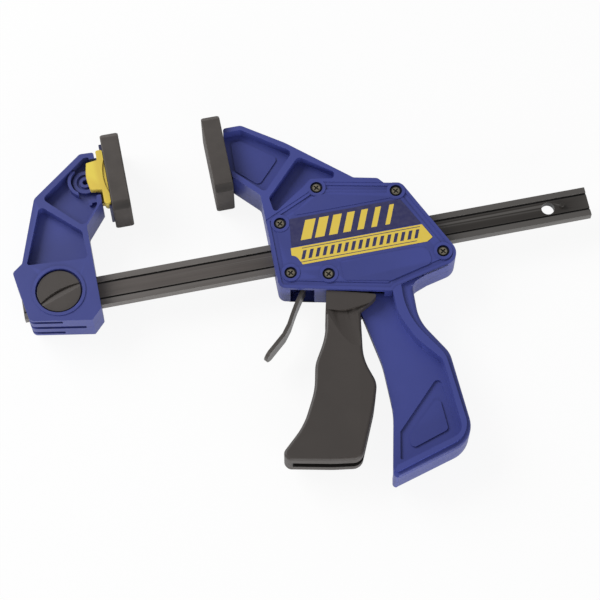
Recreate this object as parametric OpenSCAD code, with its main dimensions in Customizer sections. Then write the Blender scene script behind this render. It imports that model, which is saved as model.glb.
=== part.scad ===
/* [Bar] */
// Length of the steel bar
bar_length = 370; // [340:5:420]
// Height of the bar, across its two flanges
bar_height = 20; // [19:0.5:21]
// Thickness of the bar at its flanges
bar_thickness = 6; // [5.6:0.2:6.2]
// Thickness of the bar between its flanges
bar_web = 5; // [4.6:0.2:5.2]
// Height of each flange
flange_height = 3.9; // [3:0.1:4.2]
// Depth of the narrow grooves beside the flanges
groove_depth = 0.8; // [0.4:0.1:1]
// Diameter of the cross holes in the bar
bar_hole_d = 8.4; // [8:0.1:9]

/* [Mouldings] */
// Thickness of the jaw, the housing and the grip
body_thickness = 25; // [24:0.5:27]
// Thickness of the plate between the ribs of both jaws
jaw_web = 10; // [8:0.5:12]
// Thickness of the grip's inner web
grip_web = 5.6; // [5:0.2:6.4]
// Thickness of the housing's cover
cover_thickness = 3; // [2.6:0.1:3.4]
// Thickness of the housing's walls
wall = 3; // [2.6:0.1:3.4]

/* [Pads] */
// Width of a pad, across the clamp
pad_width = 36; // [34:1:40]
// Height of a pad, along the jaw
pad_height = 55; // [53:1:56]
// Thickness of a pad
pad_thickness = 12; // [11:0.5:13]

/* [Trigger] */
// Width of the trigger, across the clamp
trigger_width = 21; // [19:0.5:22]
// Width of the channel that takes the grip's web
channel_width = 6.8; // [6.8:0.1:8]
// Diameter of the trigger's pivot pin
trigger_pin_d = 5; // [4:0.5:6]

/* [Release lever] */
// Width of the steel strip, across the clamp
lever_width = 12.5; // [9:0.5:13]
// Thickness of the steel strip
lever_thickness = 2.4; // [2:0.2:2.8]

/* [Hidden] */
$fn = 64;

// Middle plane of the clamp, with the wider pads standing on z = 0
mid_z = pad_width / 2;
front_z = mid_z + body_thickness / 2;
back_z = mid_z - body_thickness / 2;
pocket_z = mid_z + jaw_web / 2;

// The bar
bar_left = -184;
bar_y = 28.7;
bar_top = bar_y + bar_height / 2;
bar_bottom = bar_y - bar_height / 2;
bar_gap = 0.15;
stop_x = 168.6;
stop_pin_d = 3;
stop_pin_length = 10;
free_hole = [159.4, bar_y];

// The knob that locks the fixed jaw on the bar
knob_at = [-159.5, 30];
knob_r = 14;
knob_seat_r = 15;
knob_spigot_r = 12;
knob_floor_z = mid_z + bar_thickness / 2 + bar_gap + 1.3;
knob_top_z = front_z - 1.2;
knob_rim_z = knob_top_z - 2.4;
knob_slot_depth = 2;
knob_cavity_r = 7;
knob_cavity_top_z = knob_top_z - 2.8;
lock_r = bar_hole_d / 2 - 0.1;
lock_low_z = mid_z + 0.7;
lock_flange_z = knob_floor_z + 0.1;
lock_flange_t = 1;

// The swivel of the fixed pad
swivel_at = [-125, 104.5];
swivel_pin_d = 4;
hub_at = [-131.2, 103.8];
hub_hole_r = 1.8;
cheek_z = mid_z + 8.2;
carrier_z = mid_z + 13;
carrier_face_x = -117.1;
carrier_back_x = -121.3;
carrier_low_y = 83.6;
carrier_back_low_y = 92;
carrier_high_y = 122.3;
crescent_at = [-85.8, 103];
crescent_r = 33.5;
crescent_depth = 1;

// The pads
fixed_pad_x = -116.8;
fixed_pad_y = 77.3;
moving_pad_x = -38;
moving_pad_y = 76.3;
pad_chamfer = 4;
pad_corner_r = 1.8;
tab_low_y = 80.8;
tab_high_y = 127.2;
pad_plate_half = 11;

// The housing
screw_at = [[14.4, 68.4], [64.2, 56.2], [-13.5, 48.1], [84.7, 8.8], [-13.5, 13.1], [10, 7.7]];
post_r = 4.8;
screw_ring_r = 6;
counterbore_r = 4;
counterbore_depth = 2;
screw_hole_r = 1.7;
screw_shank_r = 1.4;
screw_head_r = 3;
cavity_low_z = back_z + wall;
cover_low_z = front_z - cover_thickness;
field_z = front_z - 0.4;
screw_tip_z = cavity_low_z + 4;
rear_guide_x = 66;
stop_seat_x = 72;
grip_shoulder = 2.2;

// The trigger and the plates that it pushes
pivot_at = [46, 56];
pivot_boss_r = 6;
cheek_out = 8;
cheek_in = 4.6;
trigger_z = mid_z + trigger_width / 2;
plate_x = 45.2;
plate_t = 2.4;
plate_low_y = 10.6;
plate_high_y = 45.5;
plate_half_width = 8;
plate_gap = 0.35;
push_x = plate_x - 0.3;
drive_spring_y = 14.2;

// The release lever
lever_pivot = [-6, 46];
lever_eye_r = 2.2;
lever_plate_width = 15;
release_spring_y = 13.6;
release_rib_x = 3.5;

// Most that an outline's arc may turn between two of its points, in degrees, and stray from a true arc
arc_step = 15;
arc_error = 0.03;

// ---- Shape helpers ----

function unit(v) = v / norm(v);
function wrap(a) = a > 180 ? a - 360 : a < -180 ? a + 360 : a;

// Points of the arc that rounds corner p, between neighbours a and c
function corner_arc(a, p, c, r) =
    r == 0 ? [p] :
    let (
        u = unit(a - p),
        v = unit(c - p),
        half = acos(u * v) / 2,
        m = p + unit(u + v) * r / sin(half),
        s = p + u * r / tan(half) - m,
        e = p + v * r / tan(half) - m,
        a0 = atan2(s.y, s.x),
        sweep = wrap(atan2(e.y, e.x) - a0),
        step = min(arc_step, 2 * acos(1 - arc_error / r)),
        n = max(1, ceil(abs(sweep) / step))
    )
    [for (i = [0:n]) m + r * [cos(a0 + sweep * i / n), sin(a0 + sweep * i / n)]];

// Closed outline from corners given as [x, y, corner radius]
function outline(corners) = [
    for (i = [0:len(corners) - 1])
        let (
            n = len(corners),
            a = corners[(i + n - 1) % n],
            p = corners[i],
            c = corners[(i + 1) % n]
        )
        each corner_arc([a.x, a.y], [p.x, p.y], [c.x, c.y], p.z)
];

module slab(corners, low, high) {
    translate([0, 0, low]) linear_extrude(high - low) polygon(outline(corners));
}

module disc(at, r, low, high) {
    translate([at.x, at.y, low]) cylinder(h = high - low, r = r);
}

// A block between two opposite corners
module block(low, high) {
    translate(low) cube(high - low);
}

// The same shape in front of and behind the middle plane
module both_faces() {
    children();
    translate([0, 0, 2 * mid_z]) mirror([0, 0, 1]) children();
}

// A coil spring along z, as one closed tube of round wire
function coil_ring(c, a, rc, rw, sides) = [
    for (k = [0:sides - 1])
        let (t = 360 * k / sides, d = rc + rw * cos(t))
        [d * cos(a), d * sin(a), c + rw * sin(t)]
];

module coil(length, r, wire_r, turns, taper = 0, per_turn = 16, sides = 6) {
    n = round(turns * per_turn);
    rise = length - 2 * wire_r;
    points = [
        for (i = [0:n])
            each coil_ring(wire_r + rise * i / n, 360 * i / per_turn,
                           r - wire_r - taper * i / n, wire_r, sides)
    ];
    walls = [
        for (i = [0:n - 1], k = [0:sides - 1])
            let (a = i * sides + k, b = i * sides + (k + 1) % sides)
            [a, a + sides, b + sides, b]
    ];
    start = [for (k = [0:sides - 1]) k];
    end = [for (k = [sides - 1:-1:0]) n * sides + k];
    polyhedron(points, concat(walls, [start], [end]), convexity = 10);
}

// ---- Outlines, as [x, y, corner radius] ----

fixed_jaw_outline = [
    [-122.7, 122, 1.5], [-131.6, 122.4, 3], [-165.4, 96.4, 5], [-179.6, 53, 2.5], [-186.4, 47.8, 2.5],
    [-180.6, 13, 3.5], [-142, 6.2, 1.5], [-135, 13.4, 1.5], [-135, 71, 3], [-122.7, 86.5, 1.5]
];
fixed_jaw_upper_pocket = [
    [-126.2, 119, 1], [-129.5, 119.3, 2], [-160.3, 95.4, 3], [-138, 72.3, 3], [-134.4, 73.4, 2],
    [-126.2, 84.5, 1.5], [-125.6, 91, 0.5], [-121, 92, 0], [-121, 117.5, 0], [-126.2, 117.5, 0]
];
fixed_jaw_lower_pocket = [
    [-162.8, 91, 2.5], [-138.6, 68, 3], [-137.6, 48.6, 2.5], [-177, 51.2, 1.5]
];
carrier_cheek = [
    [carrier_back_x + 1, 115.6, 0], [-128.5, 114.5, 0.8], [-130.3, 105, 18],
    [-128.7, 95.4, 0.8], [carrier_back_x + 1, 94.2, 0]
];
arm_and_housing = [
    [-37.2, 122, 2], [-25.2, 122, 5], [0.8, 103.9, 40], [39.3, 70.7, 3], [54.4, 67.3, 3],
    [57.6, 63.4, 0], [69, 61, 5.5], [96.6, 1.8, 9], [49.8, -9.3, 1], [47.2, -11.6, 0.6],
    [-22.6, 4.3, 5], [-21.8, 70, 3.5], [-37.2, 86.6, 2]
];
cover_outline = [
    [-21.9, 52.2, 2], [9, 66.4, 4], [11, 73.4, 4], [57.6, 63.4, 0], [69, 61, 5.5], [96.6, 1.8, 9],
    [49.8, -9.3, 1], [47.2, -11.6, 0.6], [-22.6, 4.3, 5]
];
// Everything above the cover's seat: the cover's outline, drawn past the housing's outer faces
cover_recess = [
    [-30, 48.5, 0], [9, 66.4, 4], [11, 73.4, 4], [57.6, 63.4, 0], [80, 75, 0], [120, 75, 0],
    [120, 7.35, 0], [49.8, -9.3, 1], [47.2, -11.6, 0], [44, -14.4, 0], [-30, -2, 0]
];
arm_pocket = [
    [-40, 118.9, 0], [-25.8, 118.9, 2], [4.3, 96.7, 3], [-18.6, 71.7, 2.5], [-40, 94.5, 0]
];
arm_island = [
    [-34.3, 93.6, 2], [-21, 80.4, 3], [-5.4, 97.2, 3], [-27.2, 114.6, 3], [-33.4, 113.8, 2]
];
upper_panel = [
    [-5.2, 51.9, 1], [8.6, 62, 3], [22.2, 63.2, 3], [58.6, 55.6, 3], [63.4, 51.9, 1]
];
lower_panel = [
    [19, 14.4, 1.5], [19, 1.4, 1.5], [48, -4.6, 3], [76.4, 2.4, 4], [75.6, 12.2, 3], [70, 14.4, 1.5]
];
second_pocket = [
    [7, 92.6, 3], [28.4, 76.8, 2.4], [26.4, 72.6, 2.4], [11.8, 75.2, 3], [7, 71.2, 4],
    [-15.6, 55.8, 2], [-17, 67.4, 3]
];
// Outer shoulder of the grip, then the lip that stands out from it on both faces
grip_outline = [
    [88, 2, 0], [60.8, -8.2, 7], [59.6, -33.5, 30], [73.9, -58.6, 16], [76.8, -117.6, 18],
    [21.4, -133.4, 2.4], [31.6, -88, 60], [31.6, -56, 60], [23.4, -4.4, 0], [46.4, -9.8, 0],
    [48, -8.4, 0]
];
grip_lip_outline = [
    [54, 0, 0], [52, -30, 50], [70.6, -60, 18], [74.2, -114.4, 14], [21.8, -130.2, 1.2], [31, -118, 0],
    [44, -60, 0], [44, 0, 0]
];
grip_side_pocket = [
    [47.4, 2, 0], [47.4, -28, 30], [55.4, -47, 30], [68.4, -63.4, 8], [70.2, -112.4, 8],
    [20, -126.8, 0], [10, -60, 0], [10, 2, 0]
];
grip_triangle = [
    [64.6, -69.4, 2.6], [32.9, -101.4, 1], [29, -119.8, 1], [68, -108.6, 4]
];
grip_triangle_island = [
    [61.8, -82.4, 2.5], [62.6, -105.6, 2.5], [37, -113.8, 2.5], [38.4, -104.6, 2.5]
];
trigger_outline = [
    [6.4, -2.3, 1.2], [2.6, -18, 14], [0, -32, 50], [-10.4, -49.6, 24], [-14, -66, 50],
    [-25.2, -87.6, 50], [-42.2, -103.4, 4], [-38.8, -108.2, 4], [-12, -114, 50], [5.4, -116.6, 7],
    [20, -84, 50], [25, -69.4, 14], [19.8, -52, 36], [25, -19.6, 4], [33.4, -15, 8], [37.8, -11.5, 1.2]
];
trigger_cheek = [
    [40.2, 56, 0], [39, 40, 8], [12.6, 0.2, 3], [10, -11, 0], [31, -13, 0], [33.6, -4.6, 4],
    [push_x - 2.4, 9, 2], [push_x, 27, 3], [push_x, 46.8, 1], [51.8, 56, 0]
];
// Below the trigger's proud head
trigger_hollow = [
    [-20, -8.4, 0], [15, -18.2, 20], [45, -14.2, 0], [45, -60, 0], [-20, -60, 0]
];
lever_path = [
    [-6, 11.5], [-5.8, 7.2], [-7.2, 3.4], [-11.4, -2.6], [-14.6, -7.6], [-17.4, -12.4],
    [-20.8, -18.6], [-25.4, -24.8], [-33, -31.6], [-39.8, -37.6]
];

// ---- Bar and fixed jaw ----

module bar() {
    recess = (bar_thickness - bar_web) / 2;
    groove_width = 1.3;
    high_z = mid_z + bar_thickness / 2;
    left = bar_left - 1;
    right = bar_left + bar_length + 1;
    low_y = bar_bottom + flange_height;
    high_y = bar_top - flange_height;
    color("#4a4542")
    difference() {
        block([bar_left, bar_bottom, 2 * mid_z - high_z], [bar_left + bar_length, bar_top, high_z]);
        both_faces() {
            block([left, low_y, high_z - recess], [right, high_y, high_z + 1]);
            for (y = [low_y, high_y - groove_width])
                block([left, y, high_z - recess - groove_depth], [right, y + groove_width, high_z]);
        }
        for (at = [knob_at, free_hole])
            disc(at, bar_hole_d / 2, mid_z - bar_thickness, mid_z + bar_thickness);
        disc([stop_x, bar_y], stop_pin_d / 2, mid_z - bar_thickness, mid_z + bar_thickness);
    }
}

module stop_pin() {
    color("#6b6763")
    disc([stop_x, bar_y], stop_pin_d / 2, mid_z - stop_pin_length / 2, mid_z + stop_pin_length / 2);
}

// Room for the bar inside a moulding
module bar_room(x0, x1) {
    block([x0, bar_bottom - bar_gap, mid_z - bar_thickness / 2 - bar_gap],
          [x1, bar_top + bar_gap, mid_z + bar_thickness / 2 + bar_gap]);
}

module fixed_jaw_slots() {
    slot = 3;
    for (z = [mid_z - 8.4, mid_z + 8.4])
        slab([[-190, 24, 0], [-190, 0, 0], [-160.6, 0, 0], [-160.6, 13.6, 1], [-176.4, 16.6, 2],
              [-178.4, 24, 0]], z - slot / 2, z + slot / 2);
    slab([[-190, 18, 0], [-190, 0, 0], [-146.6, 0, 0], [-146.6, 11, 1], [-177.6, 16.6, 2]],
         mid_z - 1.7, mid_z + 1.7);
}

module fixed_jaw() {
    ring_r = 17;
    ring_height = 0.6;
    color("#4f5499")
    difference() {
        union() {
            difference() {
                slab(fixed_jaw_outline, back_z, front_z - ring_height);
                both_faces() slab(fixed_jaw_upper_pocket, pocket_z, front_z + 1);
                both_faces() slab(fixed_jaw_lower_pocket, pocket_z, front_z + 1);
            }
            disc(knob_at, ring_r, front_z - 2, front_z);
            nose_tongue();
            both_faces() {
                hub();
                nose_hook();
            }
        }
        both_faces() disc(hub_at, hub_hole_r, pocket_z - 3, front_z);
        both_faces() slab(swivel_clearance(), cheek_z - 0.4, front_z + 1);
        bar_room(-200, -100);
        disc(knob_at, knob_spigot_r + 0.05, knob_floor_z, front_z + 1);
        disc(knob_at, knob_seat_r, knob_rim_z - 0.1, front_z + 1);
        disc(knob_at, bar_hole_d / 2, mid_z, front_z);
        disc(swivel_at, swivel_pin_d / 2 + 0.05, 0, pad_width);
        fixed_jaw_slots();
    }
}

// Rings moulded around the middle of the swivel
module hub() {
    difference() {
        disc(hub_at, 8, pocket_z - 1, cheek_z - 0.6);
        disc(hub_at, 5.6, pocket_z + 1, cheek_z + 1);
    }
    disc(hub_at, 3.8, pocket_z - 1, cheek_z - 0.6);
    intersection() {
        difference() {
            disc(hub_at, 11.2, pocket_z - 1, cheek_z + 2);
            disc(hub_at, 9.2, pocket_z - 2, cheek_z + 3);
        }
        slab([[hub_at.x - 12, hub_at.y + 8, 0], [hub_at.x - 12, hub_at.y - 12, 0],
              [hub_at.x - 5.5, hub_at.y - 12, 0], [hub_at.x - 5.5, hub_at.y + 8, 0]],
             pocket_z - 1, cheek_z + 2);
    }
}

// Short rib below the carrier, with its end turned down
module nose_hook() {
    slab([[-131.2, 90.8, 0.8], [-131.2, 86.8, 0.8], [-129.2, 86.8, 0.8], [-129.2, 88.4, 0.4],
          [-125, 88.4, 0], [-125, 90.8, 0]], pocket_z - 1, cheek_z - 0.6);
}

// Tongue of the jaw's web that reaches in between the carrier's ears
module nose_tongue() {
    block([-124, 118.2, mid_z - jaw_web / 2], [carrier_back_x + 2.1, 121.2, mid_z + jaw_web / 2]);
}

// Space that the carrier's cheek sweeps
function swivel_clearance() = [
    [-119, 116.6, 0], [-129.9, 116.2, 1], [-131.6, 104, 16], [-129.9, 91.6, 1], [-119, 91, 0]
];

module jaw_knob() {
    color("#4d4844")
    difference() {
        union() {
            disc(knob_at, knob_spigot_r, knob_floor_z + 0.1, knob_top_z);
            disc(knob_at, knob_r, knob_rim_z, knob_top_z);
        }
        disc(knob_at, knob_cavity_r, knob_floor_z, knob_cavity_top_z);
        knob_slot();
    }
}

// Finger slot across the knob: a steep bowed wall, and a floor that rises to the face beside it
module knob_slot() {
    turn = 20;
    bow = 2.8;
    bow_top = 0.9;
    run = 4;
    half = knob_r + 1;
    steps = 8;
    wall_line = [for (i = [-steps:steps]) [half * i / steps, bow_top - bow * pow(i / steps, 2)]];
    translate([knob_at.x, knob_at.y, knob_top_z])
        rotate([0, 0, turn])
            intersection() {
                translate([0, 0, -3]) linear_extrude(5)
                    polygon(concat(wall_line, [[half, -2 * run], [-half, -2 * run]]));
                translate([-half - 1, 0, 0]) rotate([90, 0, 90]) linear_extrude(2 * half + 2)
                    polygon([[bow_top, -knob_slot_depth], [bow_top, 1], [-run, 1], [-run, 0]]);
            }
}

module lock_pin() {
    color("#b9b6b0") {
        disc(knob_at, lock_r, lock_low_z, lock_flange_z + lock_flange_t / 2);
        disc(knob_at, knob_cavity_r - 0.6, lock_flange_z, lock_flange_z + lock_flange_t);
    }
}

module lock_spring() {
    low = lock_flange_z + lock_flange_t + 0.05;
    high = knob_cavity_top_z - 0.05;
    color("#8f8d88")
    translate([knob_at.x, knob_at.y, low])
        coil(high - low, knob_cavity_r - 1, 0.3, 3.5, 3);
}

// ---- Swivelling pad ----

module swivel_carrier() {
    color("#e3c53a")
    difference() {
        union() {
            block([carrier_back_x, carrier_cheek[4].y, 2 * mid_z - carrier_z + 1],
                  [carrier_face_x, carrier_cheek[0].y, carrier_z - 1]);
            both_faces() slab(carrier_cheek, cheek_z, carrier_z);
            carrier_ear(carrier_low_y, cheek_z);
            carrier_ear(carrier_back_low_y, 2 * mid_z - carrier_z);
        }
        both_faces() disc(crescent_at, crescent_r, carrier_z - crescent_depth, carrier_z + 1);
        disc(swivel_at, swivel_pin_d / 2 + 0.05, 2 * mid_z - carrier_z + 2, carrier_z - 2);
    }
}

// Edge strip behind the pad on one face; the one on the back face is shorter
module carrier_ear(low_y, low_z) {
    slab([[carrier_face_x, low_y, 1.2], [carrier_face_x, carrier_high_y, 1.2],
          [carrier_back_x, carrier_high_y, 1.2], [carrier_back_x, low_y, 2.4]],
         low_z, low_z + carrier_z - cheek_z);
}

module swivel_pin() {
    color("#a3a09a")
    disc(swivel_at, swivel_pin_d / 2, 2 * mid_z - carrier_z + 2.1, carrier_z - 2.1);
}

module fixed_pad_plate() {
    half = pad_plate_half;
    tab = 1.5;
    color("#45498f") {
        block([carrier_face_x, tab_low_y, mid_z - half],
              [carrier_face_x + 2.4, tab_high_y, mid_z + half]);
        for (y = [[tab_low_y, carrier_low_y - 0.4], [carrier_high_y + 0.4, tab_high_y]])
            block([carrier_face_x - tab, y[0], mid_z - half],
                  [carrier_face_x + 0.1, y[1], mid_z + half]);
    }
}

// A rubber pad with the four corners of its clamping face cut off and its upright edges rounded
module pad_block(x0) {
    c = pad_chamfer;
    translate([x0, 0, 0])
    intersection() {
        rotate([90, 0, 90])
            linear_extrude(pad_thickness)
                polygon([[c, 0], [pad_height - c, 0], [pad_height, c], [pad_height, pad_width - c],
                         [pad_height - c, pad_width], [c, pad_width], [0, pad_width - c], [0, c]]);
        slab([[0, 0, pad_corner_r], [pad_thickness, 0, pad_corner_r],
              [pad_thickness, pad_height, pad_corner_r], [0, pad_height, pad_corner_r]], 0, pad_width);
    }
}

module fixed_pad() {
    color("#4b4643")
    difference() {
        translate([0, fixed_pad_y, 0]) pad_block(fixed_pad_x);
        block([fixed_pad_x - 2, tab_low_y, mid_z - pad_plate_half],
              [carrier_face_x + 2.4, tab_high_y, mid_z + pad_plate_half]);
    }
}

module moving_pad() {
    color("#4b4643")
    difference() {
        translate([0, moving_pad_y, 0]) pad_block(moving_pad_x - pad_thickness);
        moving_flange(0);
    }
}

// ---- Moving jaw, housing and grip ----

// The T-shaped flange that holds the moving pad
module moving_flange(extra) {
    neck_half = jaw_web / 2 - 0.4;
    block([moving_pad_x - 3, 84, mid_z - pad_plate_half], [moving_pad_x - 1, 124, mid_z + pad_plate_half]);
    block([moving_pad_x - 2, 96, mid_z - neck_half], [moving_pad_x + extra, 117, mid_z + neck_half]);
}

module arm_ribs() {
    difference() {
        slab(arm_and_housing, back_z, front_z);
        both_faces() {
            difference() {
                slab(arm_pocket, pocket_z, front_z + 1);
                slab(arm_island, pocket_z - 1, pocket_z + 0.7);
            }
            slab(second_pocket, pocket_z, front_z + 1);
        }
    }
}

module grip() {
    triangle_depth = 1.3;
    difference() {
        union() {
            slab(grip_outline, back_z + grip_shoulder, front_z - grip_shoulder);
            slab(grip_lip_outline, back_z, front_z);
        }
        both_faces() {
            slab(grip_side_pocket, mid_z + grip_web / 2, front_z + 1);
            difference() {
                slab(grip_triangle, mid_z + grip_web / 2 - triangle_depth, front_z);
                slab(grip_triangle_island, mid_z, mid_z + grip_web / 2 - 0.4);
            }
        }
    }
}

// Inside of the housing, without its screw posts and ribs
module housing_cavity() {
    translate([0, 0, cavity_low_z])
    linear_extrude(front_z - cavity_low_z)
    difference() {
        cover_inset(wall);
        for (at = screw_at)
            translate(at) circle(r = post_r);
        bar_guides();
        lever_rib();
        release_rib();
    }
}

module rectangle(low, high) {
    translate(low) square(high - low);
}

// Blocks that carry the bar at both ends of the housing; the drive spring pushes on the rear one
module bar_guides() {
    for (x = [[-25, -16.6], [rear_guide_x, 100]])
        rectangle([x[0], plate_low_y - 1], [x[1], bar_top + 6]);
}

// Rib in which the release lever's eye turns
module lever_rib() {
    rectangle([-24, lever_pivot.y - 3.4], [lever_pivot.x + 4, lever_pivot.y + 4]);
}

// Rib that the release spring pushes against
module release_rib() {
    rectangle([release_rib_x, release_spring_y - 4], [release_rib_x + 2, release_spring_y + 4]);
}

// Mouth for the trigger in the housing's bottom wall
module trigger_mouth() {
    slab([[9.4, 6, 0], [9.4, -6, 0], [46, -11, 0], [46, 6, 0]], cavity_low_z, cover_low_z);
}

// Slot for the release lever in the housing's bottom wall
module lever_slot() {
    slab([[-15.8, 7.6, 0], [-15.8, -3, 0], [-0.8, -3, 0], [-0.8, 7.6, 0]], cavity_low_z - 1, front_z);
}

module main_body() {
    color("#4a4f98")
    difference() {
        union() {
            difference() {
                arm_ribs();
                trigger_mouth();
            }
            grip();
            moving_flange(1.6);
        }
        slab(cover_recess, cover_low_z, front_z + 1);
        housing_cavity();
        bar_room(-60, 110);
        stop_entry();
        lever_slot();
        lever_seat();
        disc(pivot_at, trigger_pin_d / 2, cavity_low_z - 1.6, front_z);
        for (at = screw_at)
            disc(at, screw_shank_r, screw_tip_z - 1, front_z);
    }
}

// Mouth that lets the stop pin into the housing
module stop_entry() {
    room = [stop_pin_d / 2 + 0.7, stop_pin_length / 2 + 0.5];
    block([stop_seat_x, bar_y - room[0], mid_z - room[1]],
          [100, bar_y + room[0], mid_z + room[1]]);
}

// Seat in which the release lever's eye turns, with room for its plate to swing
module lever_seat() {
    half = lever_plate_width / 2 + 0.4;
    disc(lever_pivot, lever_eye_r + 0.05, mid_z - half, mid_z + half);
    block([lever_pivot.x - 2, lever_pivot.y - 4, mid_z - half],
          [lever_pivot.x + 5, lever_pivot.y - 1, mid_z + half]);
}

// The cover's outline, moved inward
module cover_inset(inset) {
    offset(delta = -inset) polygon(outline(cover_outline));
}

// Shallow channel that runs round the cover inside its edge
module cover_channel() {
    depth = 0.6;
    translate([0, 0, field_z - depth])
    linear_extrude(2)
    difference() {
        cover_inset(2.2);
        cover_inset(5.4);
    }
}

module cover() {
    color("#4d529c")
    difference() {
        union() {
            difference() {
                slab(cover_outline, cover_low_z, field_z);
                cover_channel();
            }
            intersection() {
                slab(cover_outline, cover_low_z, front_z);
                for (at = screw_at)
                    disc(at, screw_ring_r, cover_low_z, front_z);
            }
            slab(upper_panel, cover_low_z, front_z);
            slab(lower_panel, cover_low_z, front_z);
        }
        for (at = screw_at) {
            disc(at, counterbore_r, front_z - counterbore_depth, front_z + 1);
            disc(at, screw_hole_r, 0, pad_width);
        }
        disc(pivot_at, trigger_pin_d / 2, cover_low_z - 1, cover_low_z + 1.5);
    }
}

module cover_screws() {
    head_z = front_z - counterbore_depth;
    head_height = 1.4;
    cross = [4, 0.9];
    cross_depth = 0.9;
    cross_turn = 40;
    color("#6d655c")
    for (at = screw_at)
        translate([at.x, at.y, 0])
        difference() {
            union() {
                translate([0, 0, head_z]) cylinder(h = head_height, r = screw_head_r);
                translate([0, 0, screw_tip_z])
                    cylinder(h = head_z - screw_tip_z + 0.1, r = screw_shank_r);
            }
            for (a = [0, 90])
                rotate([0, 0, cross_turn + a])
                    translate([-cross.x / 2, -cross.y / 2, head_z + head_height - cross_depth])
                        cube([cross.x, cross.y, 2]);
        }
}

module label_plate() {
    color("#33356e")
    slab([[-7, 49.8, 0.6], [65.6, 49.8, 0.6], [75, 30.6, 0.6], [-9.6, 30.6, 0.6]],
         field_z, field_z + 0.2);
}

module label_band() {
    color("#e6c83e")
    slab([[-10.2, 29.6, 0.4], [75.4, 29.6, 0.4], [80.2, 19.6, 0.4], [76.2, 17.2, 0.4],
          [-4.8, 17.2, 0.4], [-7.6, 23.4, 4], [-10.6, 24.6, 0.4]],
         field_z, field_z + 0.3);
}

// ---- Trigger and drive ----

module trigger() {
    half = trigger_width / 2;
    color("#4b4642")
    difference() {
        union() {
            slab(trigger_outline, mid_z - half, mid_z + half);
            slab(trigger_cheek, mid_z - cheek_out, mid_z + cheek_out);
            disc(pivot_at, pivot_boss_r, mid_z - cheek_out, mid_z + cheek_out);
        }
        both_faces() head_hollow();
        slab(trigger_channel(), mid_z - channel_width / 2, mid_z + channel_width / 2);
        block([0, -5.4, mid_z - cheek_in], [70, 70, mid_z + cheek_in]);
        disc(pivot_at, trigger_pin_d / 2 + 0.05, 0, pad_width);
    }
}

// Rounded hollow below the trigger's proud head, deepest at its upper edge and running out downward
module head_hollow() {
    start = [19, -8];
    depth = 3.1;
    slope = 5;
    r = 50;
    intersection() {
        slab(trigger_hollow, mid_z, pad_width);
        translate([start.x, start.y, trigger_z - depth])
            rotate([90 - slope, 0, 0])
                translate([0, r, 0]) cylinder(h = 50, r = r);
    }
}

// Channel behind the trigger's front wall, open toward the grip and at the bottom
function trigger_channel() = [
    [12, -4, 0], [8.4, -28, 20], [-3.4, -50, 20], [-6.6, -66, 20], [-18, -88, 20], [-36.6, -104.6, 2],
    [-35.2, -130, 0], [60, -130, 0], [60, -4, 0]
];

module trigger_pin() {
    color("#a3a09a")
    disc(pivot_at, trigger_pin_d / 2, cavity_low_z - 1.5, cover_low_z + 1.4);
}

module drive_plate(x0) {
    difference() {
        block([x0, plate_low_y, mid_z - plate_half_width],
              [x0 + plate_t, plate_high_y, mid_z + plate_half_width]);
        block([x0 - 1, bar_bottom - plate_gap, mid_z - bar_thickness / 2 - plate_gap],
              [x0 + plate_t + 1, bar_top + plate_gap, mid_z + bar_thickness / 2 + plate_gap]);
    }
}

module drive_plate_front() {
    color("#8d8a85") drive_plate(plate_x);
}

module drive_plate_rear() {
    color("#8d8a85") drive_plate(plate_x + plate_t + 0.1);
}

module drive_spring() {
    x0 = plate_x + 2 * plate_t + 0.2;
    color("#8f8d88")
    translate([x0, drive_spring_y, mid_z])
        rotate([0, 90, 0])
            coil(rear_guide_x - 0.1 - x0, 3.6, 0.45, 6);
}

// ---- Release lever ----

// Outline of a strip of even thickness along a path
function side_step(path, i) =
    let (
        a = path[max(i - 1, 0)],
        b = path[min(i + 1, len(path) - 1)],
        d = unit(b - a)
    )
    [d.y, -d.x] * lever_thickness / 2;

// The plate round the bar and the strip that the finger pulls
module release_lever() {
    gap = 0.7;
    n = len(lever_path);
    side_a = [for (i = [0:n - 1]) lever_path[i] + side_step(lever_path, i)];
    side_b = [for (i = [n - 1:-1:0]) lever_path[i] - side_step(lever_path, i)];
    plate = lever_plate_width / 2;
    strip = lever_width / 2;
    t = lever_thickness / 2;
    color("#6f6a66")
    difference() {
        union() {
            translate([0, 0, mid_z - strip]) linear_extrude(2 * strip) polygon(concat(side_a, side_b));
            block([lever_pivot.x - t, 9.6, mid_z - plate], [lever_pivot.x + t, lever_pivot.y, mid_z + plate]);
            disc(lever_pivot, lever_eye_r, mid_z - plate, mid_z + plate);
        }
        block([lever_pivot.x - 5, bar_bottom - gap, mid_z - bar_thickness / 2 - 0.3],
              [lever_pivot.x + 5, bar_top + gap, mid_z + bar_thickness / 2 + 0.3]);
        lever_tip_cut();
    }
}

// What is cut away to round the strip's tip
module lever_tip_cut() {
    n = len(lever_path);
    tip = lever_path[n - 1];
    along = unit(tip - lever_path[n - 2]);
    r = lever_width / 2 + 0.4;
    translate([tip.x, tip.y, mid_z])
        rotate([0, 0, atan2(along.y, along.x)])
            difference() {
                translate([-r, -r, -r]) cube([2 * r, 2 * r, 2 * r]);
                translate([-r, 0, 0]) rotate([90, 0, 0]) cylinder(h = 3 * r, r = r, center = true);
            }
}

module release_spring() {
    x0 = lever_pivot.x + lever_thickness / 2 + 0.1;
    color("#8f8d88")
    translate([x0, release_spring_y, mid_z])
        rotate([0, 90, 0])
            coil(release_rib_x - 0.1 - x0, 3.2, 0.4, 4);
}

bar();
stop_pin();
fixed_jaw();
jaw_knob();
lock_pin();
lock_spring();
swivel_carrier();
swivel_pin();
fixed_pad_plate();
fixed_pad();
main_body();
cover();
cover_screws();
label_plate();
label_band();
moving_pad();
trigger();
trigger_pin();
drive_plate_front();
drive_plate_rear();
drive_spring();
release_lever();
release_spring();
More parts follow.
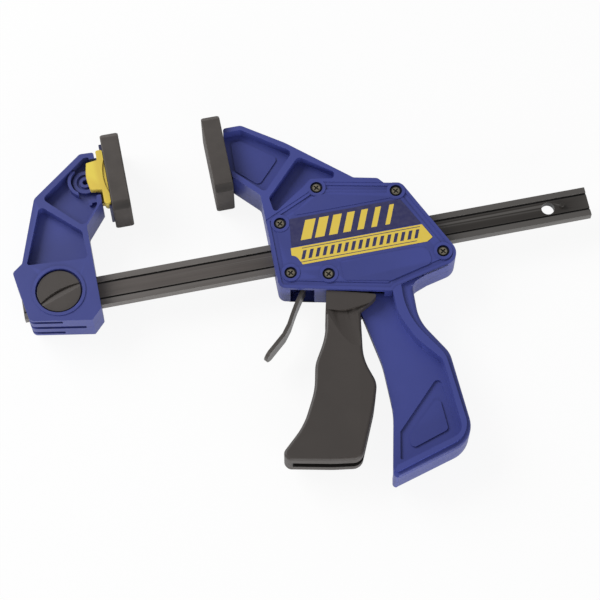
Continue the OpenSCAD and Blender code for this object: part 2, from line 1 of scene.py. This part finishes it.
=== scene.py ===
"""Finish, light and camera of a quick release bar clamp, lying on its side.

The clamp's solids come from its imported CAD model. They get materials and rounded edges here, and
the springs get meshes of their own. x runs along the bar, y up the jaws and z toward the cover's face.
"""
import math

import bpy
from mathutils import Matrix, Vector


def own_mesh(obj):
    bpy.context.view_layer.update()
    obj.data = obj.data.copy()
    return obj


MM = 0.001

# Camera: direction from the target to the camera, in degrees, then its distance and lens
CAMERA_AZIMUTH = -11.38
CAMERA_ELEVATION = 67.5
CAMERA_TARGET = (-10.4 * MM, -1.5 * MM, 18 * MM)
CAMERA_DISTANCE = 1337.6 * MM
CAMERA_LENS = 126
SENSOR_WIDTH = 36

# Light: strength of the surroundings, and each soft box's place and size in metres and its power
WORLD_STRENGTH = 0.30
LAMPS = {
    "key": ((-1.15, 0.95, 1.1), (1.4, 1.0), 29),
    "fill": ((0.25, -1.5, 0.4), (2.2, 0.8), 20),
}
FLOOR_SIZE = 6

# Colours, linear
BLUE = (0.043, 0.055, 0.240)
RUBBER = (0.056, 0.049, 0.045)
# A darker copy of the blue plastic, as painted shade on the pad plate's tabs
PLATE_BLUE_SHADED = (0.024, 0.028, 0.085)
TRIGGER = (0.050, 0.042, 0.038)
KNOB = (0.060, 0.051, 0.046)
BAR_WORN_LIT = (0.082, 0.070, 0.064)
BAR_BLACK_SHADED = (0.026, 0.022, 0.019)
RUBBED_DARK = (0.17, 0.16, 0.15)
RUBBED_PALE = (0.26, 0.25, 0.24)
# Near black painted shade for the bar's grooves and holes
GROOVE_SHADE = (0.006, 0.005, 0.005)
YELLOW = (0.790, 0.585, 0.080)
NAVY = (0.030, 0.030, 0.110)
ZINC = (0.170, 0.150, 0.110)
STRIP = (0.070, 0.062, 0.056)
STEEL = (0.480, 0.470, 0.450)
SPRING = (0.330, 0.325, 0.315)
WHITE = (1, 1, 1)
FLOOR = (0.94, 0.94, 0.94)

# The clamp's middle plane and the front face of its mouldings
MID_Z = 18 * MM
FRONT_Z = 30.5 * MM

# The cover's screws: their places in x and y in millimetres, the radius of their wells, and the
# radii between which their heads turn from pale to the near black of painted shade
SCREW_AT = ((14.4, 68.4), (64.2, 56.2), (-13.5, 48.1), (84.7, 8.8), (-13.5, 13.1), (10, 7.7))
WELL_R = 4.1 * MM
HEAD_PALE_R = (2.2 * MM, 2.7 * MM)

# Values of x between which the bar turns from worn and paler, with painted light, to black and darker,
# with painted shade
BAR_TURN = (-60 * MM, 60 * MM)

# Label: how far its marks lean to the right for each unit of height
LABEL_LEAN = 0.42


# ---- Node helpers ----

def opaque(colour):
    """The colour with its alpha."""
    return (*colour, 1)


def scaled(colour, factor):
    """The colour made lighter or darker by a number."""
    return tuple(min(1.0, c * factor) for c in colour)


def new_material(name):
    """A new material with its node tree and its principled shader."""
    material = bpy.data.materials.new(name)
    material.use_nodes = True
    tree = material.node_tree
    return material, tree, tree.nodes["Principled BSDF"]


def feed(tree, socket, source):
    """Sets an input from a number, a tuple or another node's output."""
    if isinstance(source, bpy.types.NodeSocket):
        tree.links.new(source, socket)
    else:
        socket.default_value = source


def math_node(tree, operation, a, b=0.0):
    """The result of one operation on two values; b has no effect where the operation takes one."""
    node = tree.nodes.new("ShaderNodeMath")
    node.operation = operation
    for socket, source in zip(node.inputs, (a, b)):
        feed(tree, socket, source)
    return node.outputs[0]


def split(tree, vector):
    """The three parts of a vector, as outputs."""
    node = tree.nodes.new("ShaderNodeSeparateXYZ")
    tree.links.new(vector, node.inputs[0])
    return node.outputs[0], node.outputs[1], node.outputs[2]


def place(tree):
    """The x, y and z of a point on the object, in metres, as three outputs."""
    return split(tree, tree.nodes.new("ShaderNodeTexCoord").outputs["Object"])


def noise(tree, scale, detail, roughness, stretch=(1, 1, 1)):
    """Noise over the object's own coordinates, in metres."""
    coordinates = tree.nodes.new("ShaderNodeTexCoord")
    mapping = tree.nodes.new("ShaderNodeMapping")
    mapping.inputs["Scale"].default_value = stretch
    texture = tree.nodes.new("ShaderNodeTexNoise")
    texture.inputs["Scale"].default_value = scale
    texture.inputs["Detail"].default_value = detail
    texture.inputs["Roughness"].default_value = roughness
    tree.links.new(coordinates.outputs["Object"], mapping.inputs["Vector"])
    tree.links.new(mapping.outputs["Vector"], texture.inputs["Vector"])
    return texture.outputs["Fac"]


def remap(tree, value, low, high, from_low=0.3, from_high=0.7):
    """value stretched from its own range to low..high."""
    node = tree.nodes.new("ShaderNodeMapRange")
    for name, source in (("Value", value), ("From Min", from_low), ("From Max", from_high),
                         ("To Min", low), ("To Max", high)):
        feed(tree, node.inputs[name], source)
    return node.outputs["Result"]


def ramp(tree, value, first, last):
    """A colour between two stops, each given as (value, colour)."""
    node = tree.nodes.new("ShaderNodeValToRGB")
    for element, (position, colour) in zip(node.color_ramp.elements, (first, last)):
        element.position = position
        element.color = opaque(colour)
    tree.links.new(value, node.inputs["Fac"])
    return node.outputs["Color"]


def blend_colours(tree, factor, a, b):
    """Colour a where factor is 0 and b where it is 1."""
    node = tree.nodes.new("ShaderNodeMix")
    node.data_type = "RGBA"
    feed(tree, node.inputs["Factor"], factor)
    # The mix node's colour inputs and output come after those of its other data types
    feed(tree, node.inputs[6], a)
    feed(tree, node.inputs[7], b)
    return node.outputs[2]


def scaled_colour(tree, colour, factor):
    """A colour output made lighter or darker by another node's output."""
    node = tree.nodes.new("ShaderNodeVectorMath")
    node.operation = "SCALE"
    tree.links.new(colour, node.inputs[0])
    tree.links.new(factor, node.inputs["Scale"])
    return node.outputs[0]


def bump(tree, shader, *layers):
    """Bump of several heights on the shader, each (value, distance in metres, strength)."""
    normal = None
    for value, distance, strength in layers:
        node = tree.nodes.new("ShaderNodeBump")
        node.inputs["Distance"].default_value = distance
        node.inputs["Strength"].default_value = strength
        tree.links.new(value, node.inputs["Height"])
        if normal:
            tree.links.new(normal, node.inputs["Normal"])
        normal = node.outputs["Normal"]
    tree.links.new(normal, shader.inputs["Normal"])


def all_of(tree, first, *others):
    """1 where every mask is 1, else 0."""
    for mask in others:
        first = math_node(tree, "MULTIPLY", first, mask)
    return first


def inside(tree, value, low, high):
    """1 where value lies between low and high, else 0."""
    above = math_node(tree, "GREATER_THAN", value, low)
    below = math_node(tree, "LESS_THAN", value, high)
    return all_of(tree, above, below)


def near_middle(tree, reach):
    """1 up to reach in front of and behind the clamp's middle plane, else 0."""
    return inside(tree, place(tree)[2], MID_Z - reach, MID_Z + reach)


# ---- Masks on the clamp ----

def edge_wear(tree):
    """0 on flat faces, rising to 1 on convex edges."""
    flat, worn = 0.52, 0.60
    geometry = tree.nodes.new("ShaderNodeNewGeometry")
    return remap(tree, geometry.outputs["Pointiness"], 0, 1, flat, worn)


def parting_line(tree):
    """0 away from the mould's parting line round the middle plane, 1 on it."""
    half_width = 0.16 * MM
    z = place(tree)[2]
    off = math_node(tree, "ABSOLUTE", math_node(tree, "SUBTRACT", z, MID_Z))
    return remap(tree, off, 1, 0, half_width, 2 * half_width)


def screw_distance(tree):
    """Distance to the axis of the nearest screw of the cover, in metres."""
    coordinates = tree.nodes.new("ShaderNodeTexCoord").outputs["Object"]
    flat = tree.nodes.new("ShaderNodeVectorMath")
    flat.operation = "MULTIPLY"
    flat.inputs[1].default_value = (1, 1, 0)
    tree.links.new(coordinates, flat.inputs[0])
    nearest = 1.0
    for x, y in SCREW_AT:
        away = tree.nodes.new("ShaderNodeVectorMath")
        away.operation = "DISTANCE"
        away.inputs[1].default_value = (x * MM, y * MM, 0)
        tree.links.new(flat.outputs[0], away.inputs[0])
        nearest = math_node(tree, "MINIMUM", away.outputs["Value"], nearest)
    return nearest


def screw_well_shade(tree):
    """1 in the wells round the cover's screws, where the plastic gets painted shade, 0 elsewhere."""
    rim_height = 0.3 * MM
    inner = math_node(tree, "LESS_THAN", screw_distance(tree), WELL_R)
    sunk = math_node(tree, "LESS_THAN", place(tree)[2], FRONT_Z - rim_height)
    return all_of(tree, inner, sunk)


def channel_mouth_shade(tree):
    """1 on the walls of the trigger's channel near its open end, where painted shade goes, 0
    elsewhere.
    """
    top_y = -98 * MM
    left_x = -37 * MM
    half_width = 3.45 * MM
    x, y, _ = place(tree)
    low = math_node(tree, "LESS_THAN", y, top_y)
    right = math_node(tree, "GREATER_THAN", x, left_x)
    return all_of(tree, low, right, near_middle(tree, half_width))


def bar_groove_shade(tree):
    """1 in the bar's narrow grooves and holes, where painted shade goes, 0 elsewhere."""
    reach = 2.3 * MM
    bottom_y, top_y = 19.2 * MM, 38.2 * MM
    between_edges = inside(tree, place(tree)[1], bottom_y, top_y)
    return all_of(tree, near_middle(tree, reach), between_edges)


def end_lean(tree):
    """0.5 on faces that slant to the part's upper end, -0.5 to its lower end, 0 on square faces."""
    normal = tree.nodes.new("ShaderNodeTexCoord").outputs["Normal"]
    _, y, z = split(tree, normal)
    return math_node(tree, "MULTIPLY", y, math_node(tree, "ABSOLUTE", z))


# ---- Materials ----

def moulded_plastic(name, colour, roughness=0.42, grain=1600, wear=0.3, shaded=None):
    """Satin moulded plastic: flow marks, fine grain, rubbed edges, a dark parting line, and painted
    shade where shaded gives 1."""
    material, tree, shader = new_material(name)
    flow = noise(tree, scale=26, detail=3, roughness=0.55)
    scuffs = noise(tree, scale=90, detail=5, roughness=0.7, stretch=(1, 0.4, 1))
    fine = noise(tree, scale=grain, detail=2, roughness=0.6)
    tone = ramp(tree, flow, (0.3, scaled(colour, 0.93)), (0.7, scaled(colour, 1.06)))
    worn = ramp(tree, flow, (0.0, scaled(colour, 1.45)), (1.0, scaled(colour, 1.65)))
    edge = math_node(tree, "MULTIPLY", edge_wear(tree), wear)
    dirt_and_shade = math_node(tree, "MULTIPLY", parting_line(tree), 0.45)
    # Where shaded gives 1, the colour is darkened as painted shade
    if shaded:
        dirt_and_shade = math_node(tree, "MAXIMUM", dirt_and_shade, math_node(tree, "MULTIPLY", shaded(tree), 0.85))
    surface = blend_colours(tree, edge, tone, worn)
    surface = blend_colours(tree, dirt_and_shade, surface, opaque(scaled(colour, 0.12)))
    tree.links.new(surface, shader.inputs["Base Color"])
    satin = remap(tree, fine, roughness - 0.05, roughness + 0.05)
    dulled = remap(tree, scuffs, 0, 0.06, 0.5, 0.75)
    tree.links.new(math_node(tree, "ADD", satin, dulled), shader.inputs["Roughness"])
    bump(tree, shader, (flow, 0.2 * MM, 0.25), (fine, 0.04 * MM, 0.35),
         (parting_line(tree), 0.1 * MM, 0.6))
    return material


def pad_rubber(name, colour):
    """Matt rubber with a chalky bloom, pits, rubbed edges that also paint a highlight, painted shade
    on faces that slant to its lower end and painted light on those that slant to its upper end.
    """
    material, tree, shader = new_material(name)
    bloom = noise(tree, scale=60, detail=4, roughness=0.6)
    pits = noise(tree, scale=2200, detail=2, roughness=0.7)
    tone = ramp(tree, bloom, (0.3, scaled(colour, 0.88)), (0.72, scaled(colour, 1.16)))
    # Chalky rubbed edges, strong enough to paint the edges' highlight as well
    chalk_and_highlight = ramp(tree, bloom, (0.3, scaled(colour, 2.4)), (0.72, scaled(colour, 3.4)))
    edge = math_node(tree, "MULTIPLY", edge_wear(tree), 0.75)
    # Painted shade on faces slanting to the lower end, painted light on those slanting to the upper
    # end
    slant_lit_and_shaded = scaled_colour(tree, tone, remap(tree, end_lean(tree), 0.6, 1.4, -0.5, 0.5))
    tree.links.new(blend_colours(tree, edge, slant_lit_and_shaded, chalk_and_highlight), shader.inputs["Base Color"])
    tree.links.new(remap(tree, pits, 0.62, 0.8), shader.inputs["Roughness"])
    shader.inputs["Specular IOR Level"].default_value = 0.35
    bump(tree, shader, (bloom, 0.3 * MM, 0.2), (pits, 0.05 * MM, 0.5))
    return material


def drawn_steel(name, colour, far_colour, roughness=0.38, along=(0.02, 1, 1), edge_share=0.35,
                grime_and_shade=None):
    """Blackened steel with draw lines and rubbed edges; it turns to far_colour over BAR_TURN in x, as
    wear and painted light, and is painted near black as shade where grime_and_shade gives 1."""
    material, tree, shader = new_material(name)
    lines = noise(tree, scale=900, detail=3, roughness=0.7, stretch=along)
    patches = noise(tree, scale=18, detail=4, roughness=0.6, stretch=(0.4, 1, 1))
    # The bar's pale left end is wear and also painted light; its dark right end is also painted shade
    far_share = remap(tree, place(tree)[0], 0, 1, *BAR_TURN)
    base = blend_colours(tree, far_share, opaque(colour), opaque(far_colour))
    shade = math_node(tree, "MULTIPLY", remap(tree, patches, 0.86, 1.16),
                      remap(tree, lines, 0.88, 1.16))
    edge = math_node(tree, "MULTIPLY", edge_wear(tree), edge_share)
    rubbed = ramp(tree, patches, (0.0, RUBBED_DARK), (1.0, RUBBED_PALE))
    surface = blend_colours(tree, edge, scaled_colour(tree, base, shade), rubbed)
    # Painted shade turns the surface near black where grime_and_shade gives 1
    if grime_and_shade:
        surface = blend_colours(tree, grime_and_shade(tree), surface, opaque(GROOVE_SHADE))
    tree.links.new(surface, shader.inputs["Base Color"])
    tree.links.new(remap(tree, patches, roughness - 0.06, roughness + 0.1), shader.inputs["Roughness"])
    shader.inputs["Specular IOR Level"].default_value = 0.6
    bump(tree, shader, (lines, 0.06 * MM, 0.4), (patches, 0.2 * MM, 0.15))
    return material


def screw_metal(name, colour):
    """Dull zinc in the middle of the heads, with near black painted shade in their crosses and round
    their rims.
    """
    material, tree, shader = new_material(name)
    head_depth = 0.8 * MM
    grime_and_shade = noise(tree, scale=900, detail=3, roughness=0.6)
    top = math_node(tree, "GREATER_THAN", place(tree)[2], FRONT_Z - head_depth)
    middle = remap(tree, screw_distance(tree), 1, 0, *HEAD_PALE_R)
    face = all_of(tree, top, middle)
    pale = ramp(tree, grime_and_shade, (0.3, scaled(colour, 0.7)), (0.7, scaled(colour, 1.3)))
    # Below the heads' tops and out at their rims, the zinc is painted near black as shade
    surface = blend_colours(tree, face, opaque(scaled(colour, 0.05)), pale)
    tree.links.new(surface, shader.inputs["Base Color"])
    tree.links.new(remap(tree, grime_and_shade, 0.3, 0.5), shader.inputs["Roughness"])
    bump(tree, shader, (grime_and_shade, 0.05 * MM, 0.4))
    return material


def bright_metal(name, colour, roughness=0.3):
    """Bare steel with fine rubbing marks."""
    material, tree, shader = new_material(name)
    marks = noise(tree, scale=700, detail=3, roughness=0.6, stretch=(1, 1, 0.2))
    tone = ramp(tree, marks, (0.3, scaled(colour, 0.85)), (0.7, scaled(colour, 1.1)))
    tree.links.new(tone, shader.inputs["Base Color"])
    tree.links.new(remap(tree, marks, roughness - 0.06, roughness + 0.1), shader.inputs["Roughness"])
    shader.inputs["Metallic"].default_value = 1.0
    bump(tree, shader, (marks, 0.03 * MM, 0.4))
    return material


def film_finish(tree, shader, colour):
    """Surface of a printed film in a colour output, with a faint orange peel."""
    peel = noise(tree, scale=420, detail=2, roughness=0.5)
    faded = blend_colours(tree, remap(tree, peel, 0, 0.012), colour, opaque(WHITE))
    tree.links.new(faded, shader.inputs["Base Color"])
    tree.links.new(remap(tree, peel, 0.34, 0.44), shader.inputs["Roughness"])
    bump(tree, shader, (peel, 0.03 * MM, 0.3))


def label_place(tree):
    """x along lines that lean as the label's marks do, and y, both in metres."""
    x, y, _ = place(tree)
    return math_node(tree, "SUBTRACT", x, math_node(tree, "MULTIPLY", y, LABEL_LEAN)), y


def phase_of(tree, x, pitch):
    """How far x has gone through its pitch, from 0 to 1."""
    return math_node(tree, "FRACT", math_node(tree, "DIVIDE", x, pitch))


def label_bars(name):
    """Navy film with a row of slanted yellow bars that thin out to the right."""
    material, tree, shader = new_material(name)
    pitch = 9.2 * MM
    left, right = -17 * MM, 47.4 * MM
    low, high = 33.8 * MM, 47.2 * MM
    first_share, last_share = 0.80, 0.28
    x, y = label_place(tree)
    along = remap(tree, x, 0, 1, left, right)
    thinner = math_node(tree, "MULTIPLY", along, first_share - last_share)
    share = math_node(tree, "SUBTRACT", first_share, thinner)
    phase = phase_of(tree, math_node(tree, "SUBTRACT", x, left), pitch)
    bars = math_node(tree, "LESS_THAN", phase, share)
    print_on = all_of(tree, bars, inside(tree, x, left, right), inside(tree, y, low, high))
    film_finish(tree, shader, blend_colours(tree, print_on, opaque(NAVY), opaque(YELLOW)))
    return material


def label_ticks(name):
    """Yellow film with a line of dark slanted ticks between two thin rules."""
    material, tree, shader = new_material(name)
    pitch = 4.6 * MM
    tick_share = 0.5
    left, right = -15 * MM, 62 * MM
    tick_low, tick_high = 20.6 * MM, 26.6 * MM
    low_rule, high_rule = 18.6 * MM, 28.0 * MM
    rule_width = 0.5 * MM
    x, y = label_place(tree)
    ticks = all_of(tree, inside(tree, phase_of(tree, x, pitch), 0.0, tick_share),
                   inside(tree, y, tick_low, tick_high))
    rules = math_node(tree, "MAXIMUM", inside(tree, y, low_rule, low_rule + rule_width),
                      inside(tree, y, high_rule, high_rule + rule_width))
    marks = all_of(tree, math_node(tree, "MAXIMUM", ticks, rules), inside(tree, x, left, right))
    film_finish(tree, shader, blend_colours(tree, marks, opaque(YELLOW), opaque(NAVY)))
    return material


def backdrop(name, colour):
    """Pale floor, nearly white to the camera and fairly white in reflections."""
    material, tree, shader = new_material(name)
    white_seen = 0.9
    white_reflected = 0.6
    shader.inputs["Base Color"].default_value = opaque(colour)
    shader.inputs["Roughness"].default_value = 0.9
    rays = tree.nodes.new("ShaderNodeLightPath")
    white = tree.nodes.new("ShaderNodeEmission")
    mix = tree.nodes.new("ShaderNodeMixShader")
    seen = math_node(tree, "MULTIPLY", rays.outputs["Is Camera Ray"], white_seen)
    reflected = math_node(tree, "MULTIPLY", rays.outputs["Is Glossy Ray"], white_reflected)
    tree.links.new(math_node(tree, "MAXIMUM", seen, reflected), mix.inputs[0])
    tree.links.new(shader.outputs[0], mix.inputs[1])
    tree.links.new(white.outputs[0], mix.inputs[2])
    tree.links.new(mix.outputs[0], tree.nodes["Material Output"].inputs["Surface"])
    return material


def make_materials():
    """Every material of the clamp, by the name that FINISH gives it."""
    return {
        "blue": moulded_plastic("blue_plastic", BLUE),
        # The cover's plastic gets painted shade in its screw wells
        "cover blue": moulded_plastic("cover_plastic", BLUE, shaded=screw_well_shade),
        "plate blue shaded": moulded_plastic("plate_shaded_plastic", PLATE_BLUE_SHADED),
        # The trigger's plastic gets painted shade on its channel's walls near the open end
        "trigger": moulded_plastic("trigger_plastic", TRIGGER, roughness=0.50, grain=2000, wear=0.1,
                                   shaded=channel_mouth_shade),
        "yellow": moulded_plastic("yellow_plastic", YELLOW, roughness=0.4),
        "rubber": pad_rubber("pad_rubber", RUBBER),
        "knob": moulded_plastic("knob_plastic", KNOB, roughness=0.40, grain=1400, wear=0.5),
        "bar steel": drawn_steel("bar_steel", BAR_WORN_LIT, BAR_BLACK_SHADED, grime_and_shade=bar_groove_shade),
        "strip": drawn_steel("lever_steel", STRIP, STRIP, roughness=0.34, along=(1, 1, 0.05),
                             edge_share=0.15),
        "screws": screw_metal("screw_steel", ZINC),
        "pins": bright_metal("pin_steel", STEEL),
        "wire": bright_metal("spring_steel", SPRING, roughness=0.34),
        "navy print": label_bars("label_navy"),
        "yellow print": label_ticks("label_yellow"),
    }


# ---- Shape finish of the carried-over solids ----

def compare_vectors(group, operation, a, b):
    """Whether every part of vector a is greater or less than that of b."""
    node = group.nodes.new("FunctionNodeCompare")
    node.data_type = "VECTOR"
    node.mode = "ELEMENT"
    node.operation = operation
    vectors = [s for s in node.inputs if s.type == "VECTOR"]
    group.links.new(a, vectors[0])
    vectors[1].default_value = b
    return node.outputs[0]


def combine(group, operation, a, b):
    """Two truth values joined by AND or OR."""
    node = group.nodes.new("FunctionNodeBooleanMath")
    node.operation = operation
    group.links.new(a, node.inputs[0])
    group.links.new(b, node.inputs[1])
    return node.outputs[0]


def convex_edges(group):
    """Whether an edge is convex and sharper than the steps of a rounded outline."""
    least_angle = math.radians(28)
    angle = group.nodes.new("GeometryNodeInputMeshEdgeAngle")
    convex = group.nodes.new("FunctionNodeCompare")
    convex.data_type = "FLOAT"
    convex.operation = "GREATER_THAN"
    convex.inputs["B"].default_value = least_angle
    group.links.new(angle.outputs["Signed Angle"], convex.inputs["A"])
    return convex.outputs[0]


def edge_picker(name, boxes):
    """Node group that weighs for a bevel the convex edges whose middle is in one of the boxes."""
    group = bpy.data.node_groups.new(name, "GeometryNodeTree")
    group.interface.new_socket("Geometry", in_out="INPUT", socket_type="NodeSocketGeometry")
    group.interface.new_socket("Geometry", in_out="OUTPUT", socket_type="NodeSocketGeometry")
    source = group.nodes.new("NodeGroupInput")
    result = group.nodes.new("NodeGroupOutput")
    middle = group.nodes.new("GeometryNodeInputPosition")
    inside_any = None
    for low, high in boxes:
        above = compare_vectors(group, "GREATER_THAN", middle.outputs[0], [v * MM for v in low])
        below = compare_vectors(group, "LESS_THAN", middle.outputs[0], [v * MM for v in high])
        inside_one = combine(group, "AND", above, below)
        inside_any = combine(group, "OR", inside_any, inside_one) if inside_any else inside_one
    store = group.nodes.new("GeometryNodeStoreNamedAttribute")
    store.data_type = "FLOAT"
    store.domain = "EDGE"
    store.inputs["Name"].default_value = "bevel_weight_edge"
    weight = [s for s in store.inputs if s.name == "Value" and s.enabled][0]
    group.links.new(source.outputs[0], store.inputs["Geometry"])
    group.links.new(combine(group, "AND", convex_edges(group), inside_any), weight)
    group.links.new(store.outputs[0], result.inputs[0])
    return group


def clean_mesh(node):
    """Joins the solid's triangles into flat faces, so that bevels follow its real edges."""
    weld = node.modifiers.new("weld", "WELD")
    weld.merge_threshold = 0.01 * MM
    flat = node.modifiers.new("flat", "DECIMATE")
    flat.decimate_type = "DISSOLVE"
    flat.angle_limit = math.radians(0.5)


def fillet(node, width, boxes):
    """A large fillet on a node's convex edges inside boxes given in millimetres."""
    pick = node.modifiers.new("pick", "NODES")
    pick.node_group = edge_picker(f"{node.name}_edges", boxes)
    bevel = node.modifiers.new("fillet", "BEVEL")
    bevel.width = width * MM
    bevel.segments = 6
    bevel.limit_method = "WEIGHT"
    bevel.use_clamp_overlap = False


def soften(node, width):
    """Rounds every edge that is left sharp by width, in millimetres."""
    bevel = node.modifiers.new("bevel", "BEVEL")
    bevel.width = width * MM
    bevel.segments = 3
    bevel.limit_method = "ANGLE"
    bevel.angle_limit = math.radians(32)
    normals = node.modifiers.new("normals", "WEIGHTED_NORMAL")
    normals.keep_sharp = True


def dress(node, material):
    """Gives a node one material."""
    node.data.materials.clear()
    node.data.materials.append(material)


def at_faces(low, high, depth, half_thickness):
    """The same box of edges at the front face and at the back face of a moulding, in millimetres."""
    middle = MID_Z / MM
    spare = 0.5
    front = ((*low, middle + half_thickness - depth), (*high, middle + half_thickness + spare))
    back = ((*low, middle - half_thickness - spare), (*high, middle - half_thickness + depth))
    return [front, back]


# ---- Stage ----

def make_camera():
    """The photograph's view."""
    azimuth = math.radians(CAMERA_AZIMUTH)
    elevation = math.radians(CAMERA_ELEVATION)
    back = (
        math.sin(azimuth) * math.cos(elevation),
        -math.cos(azimuth) * math.cos(elevation),
        math.sin(elevation),
    )
    data = bpy.data.cameras.new("camera")
    data.lens = CAMERA_LENS
    data.sensor_width = SENSOR_WIDTH
    camera = bpy.data.objects.new("camera", data)
    camera.location = [t + b * CAMERA_DISTANCE for t, b in zip(CAMERA_TARGET, back)]
    camera.rotation_euler = (math.pi / 2 - elevation, 0, azimuth)
    bpy.context.scene.collection.objects.link(camera)
    bpy.context.scene.camera = camera


def add_area(name, where, size, power):
    """A soft box at where, aimed at the middle of the clamp."""
    data = bpy.data.lights.new(name, "AREA")
    data.shape = "RECTANGLE"
    data.size = size[0]
    data.size_y = size[1]
    data.energy = power
    lamp = bpy.data.objects.new(name, data)
    lamp.location = where
    lamp.rotation_euler = (-Vector(where)).to_track_quat("-Z", "Y").to_euler()
    bpy.context.scene.collection.objects.link(lamp)


def make_stage():
    """The surroundings' light, the floor and the lamps."""
    scene = bpy.context.scene
    world = bpy.data.worlds.new("studio")
    world.use_nodes = True
    background = world.node_tree.nodes["Background"]
    background.inputs["Color"].default_value = opaque(WHITE)
    background.inputs["Strength"].default_value = WORLD_STRENGTH
    scene.world = world
    scene.view_settings.view_transform = "Standard"
    bpy.ops.mesh.primitive_plane_add(size=FLOOR_SIZE)
    floor = bpy.context.object
    floor.name = "floor"
    dress(floor, backdrop("floor", FLOOR))
    for name, (where, size, power) in LAMPS.items():
        add_area(name, where, size, power)


# ---- What each node gets ----

# Material and edge radius in millimetres of each node
FINISH = {
    "bar": ("bar steel", 0.25),
    "stop_pin": ("bar steel", 0.2),
    "fixed_jaw": ("blue", 0.8),
    "jaw_knob": ("knob", 0.4),
    "lock_pin": ("pins", 0.2),
    "lock_spring": ("wire", 0),
    "swivel_carrier": ("yellow", 0.5),
    "swivel_pin": ("pins", 0.2),
    "fixed_pad_plate": ("plate blue shaded", 0.3),
    "fixed_pad": ("rubber", 0.9),
    "main_body": ("blue", 0.8),
    "cover": ("cover blue", 0.3),
    "cover_screws": ("screws", 0.12),
    "label_plate": ("navy print", 0),
    "label_band": ("yellow print", 0),
    "moving_pad": ("rubber", 0.9),
    "trigger": ("trigger", 0.8),
    "trigger_pin": ("pins", 0.2),
    "drive_plate_front": ("strip", 0.2),
    "drive_plate_rear": ("strip", 0.2),
    "drive_spring": ("wire", 0),
    "release_lever": ("strip", 0.4),
    "release_spring": ("wire", 0),
}

# Large fillets of a node: radius in millimetres and boxes of edges. main_body has them on the
# grip's outer shoulder, and on the housing's back edge apart from where the grip meets it. The
# trigger has them below its head.
FILLETS = {
    "main_body": [
        (1.9, at_faces((24.5, -140), (95, -9.5), 0.4, 10.3)),
        (3.0, [((-30, -14, 5), (45, 56, 6)), ((52, -14, 5), (105, 64, 6))]),
    ],
    "trigger": [(2.0, at_faces((-60, -130), (60, -19.8), 3.2, 10.5))],
}

# Springs: node, the joint that presses it, axis, the end that keeps its place on its body in
# millimetres, and the share of its length that is left at the joint's limit
SPRINGS = (
    ("drive_spring", "drive_stroke", (1, 0, 0), (50.2, 14.2, 18), 0.76),
    ("lock_spring", "lock_lift", (0, 0, 1), (-159.5, 30, 23.6), 0.26),
    ("release_spring", "release_pull", (1, 0, 0), (3.4, 13.6, 18), 0.56),
)


def finish_nodes(nodes, materials):
    """Dresses every node and rounds its edges, the large fillets first."""
    for name, (material, radius) in FINISH.items():
        node = nodes[name]
        dress(node, materials[material])
        if radius:
            clean_mesh(node)
            for width, boxes in FILLETS.get(name, ()):
                fillet(node, width, boxes)
            soften(node, radius)


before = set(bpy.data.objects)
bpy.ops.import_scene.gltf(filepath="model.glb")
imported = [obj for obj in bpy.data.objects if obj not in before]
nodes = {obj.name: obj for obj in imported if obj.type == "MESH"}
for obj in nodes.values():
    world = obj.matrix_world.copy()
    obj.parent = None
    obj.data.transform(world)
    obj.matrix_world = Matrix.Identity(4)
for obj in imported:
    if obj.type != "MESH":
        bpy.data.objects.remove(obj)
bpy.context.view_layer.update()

make_camera()
make_stage()
finish_nodes(nodes, make_materials())
for name, joint, axis, anchor, keep in SPRINGS:
    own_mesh(nodes[name])
